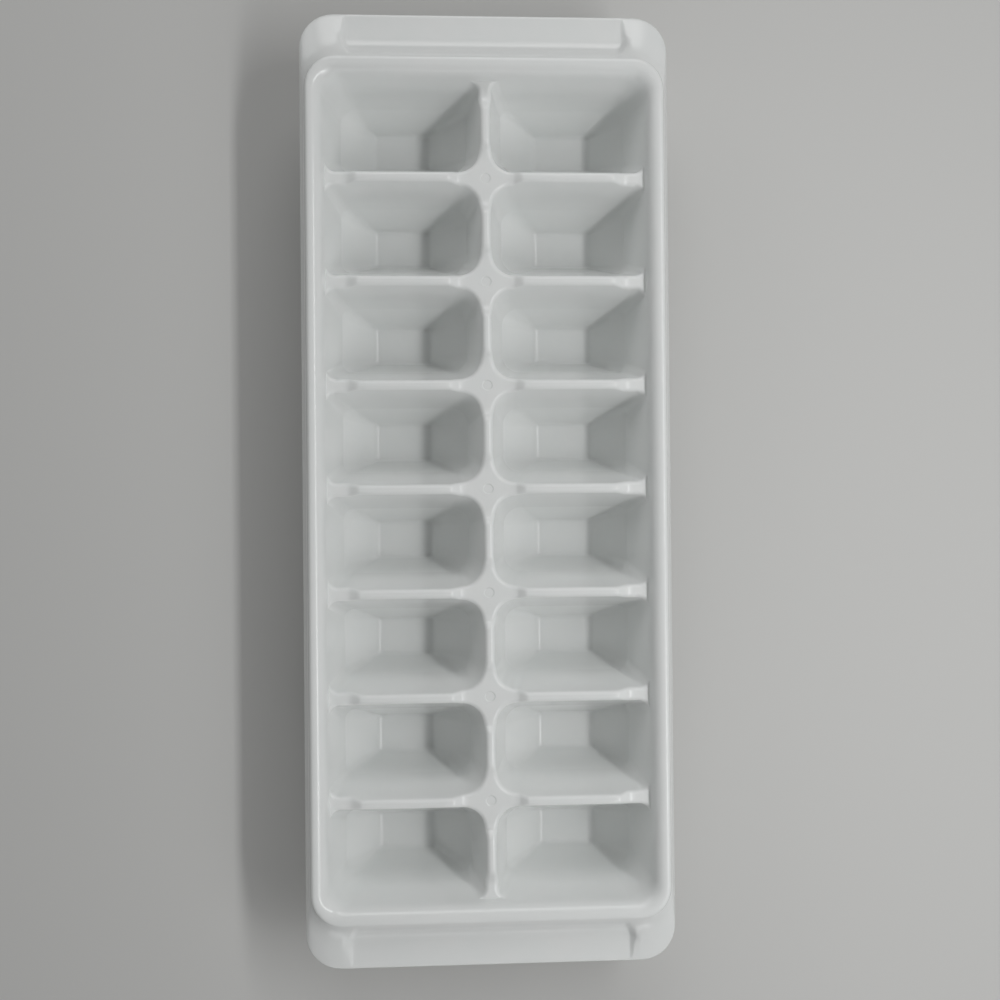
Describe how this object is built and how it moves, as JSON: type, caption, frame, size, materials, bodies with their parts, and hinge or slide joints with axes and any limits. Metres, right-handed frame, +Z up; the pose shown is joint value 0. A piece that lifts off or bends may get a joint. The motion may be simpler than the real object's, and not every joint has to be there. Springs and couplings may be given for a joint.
{
  "type": "ice cube tray",
  "caption": "Shallow moulded tray with two columns of tapered freezing cells, raised divider bars, a rolled rim and a sunk thumb ledge at each end.",
  "frame": {"origin": "centre of the tray's outline, on the plane the cup floors rest on", "axes": "+Z up out of the cells, +Y along the tray's length towards the head ledge (up in the picture), +X across the two columns (right in the picture)"},
  "size_m": [0.1212, 0.3124, 0.038],
  "materials": {
    "moulding": "satin moulded polypropylene, slightly translucent"
  },
  "bodies": {
    "root": {"cup_left_1": "moulding", "cup_left_2": "moulding", "cup_left_3": "moulding", "cup_left_4": "moulding", "cup_left_5": "moulding", "cup_left_6": "moulding", "cup_left_7": "moulding", "cup_left_8": "moulding", "cup_right_1": "moulding", "cup_right_2": "moulding", "cup_right_3": "moulding", "cup_right_4": "moulding", "cup_right_5": "moulding", "cup_right_6": "moulding", "cup_right_7": "moulding", "cup_right_8": "moulding", "divider_left_1": "moulding", "divider_left_2": "moulding", "divider_left_3": "moulding", "divider_left_4": "moulding", "divider_left_5": "moulding", "divider_left_6": "moulding", "divider_left_7": "moulding", "divider_right_1": "moulding", "divider_right_2": "moulding", "divider_right_3": "moulding", "divider_right_4": "moulding", "divider_right_5": "moulding", "divider_right_6": "moulding", "divider_right_7": "moulding", "pad_1": "moulding", "pad_2": "moulding", "pad_3": "moulding", "pad_4": "moulding", "pad_5": "moulding", "pad_6": "moulding", "pad_7": "moulding", "spine_1": "moulding", "spine_2": "moulding", "spine_3": "moulding", "spine_4": "moulding", "spine_5": "moulding", "spine_6": "moulding", "spine_7": "moulding", "spine_8": "moulding", "rim_left": "moulding", "rim_right": "moulding", "skirt_left": "moulding", "skirt_right": "moulding", "rim_head": "moulding", "rim_foot": "moulding", "ledge_head": "moulding", "ledge_foot": "moulding"}
  },
  "joints": []
}
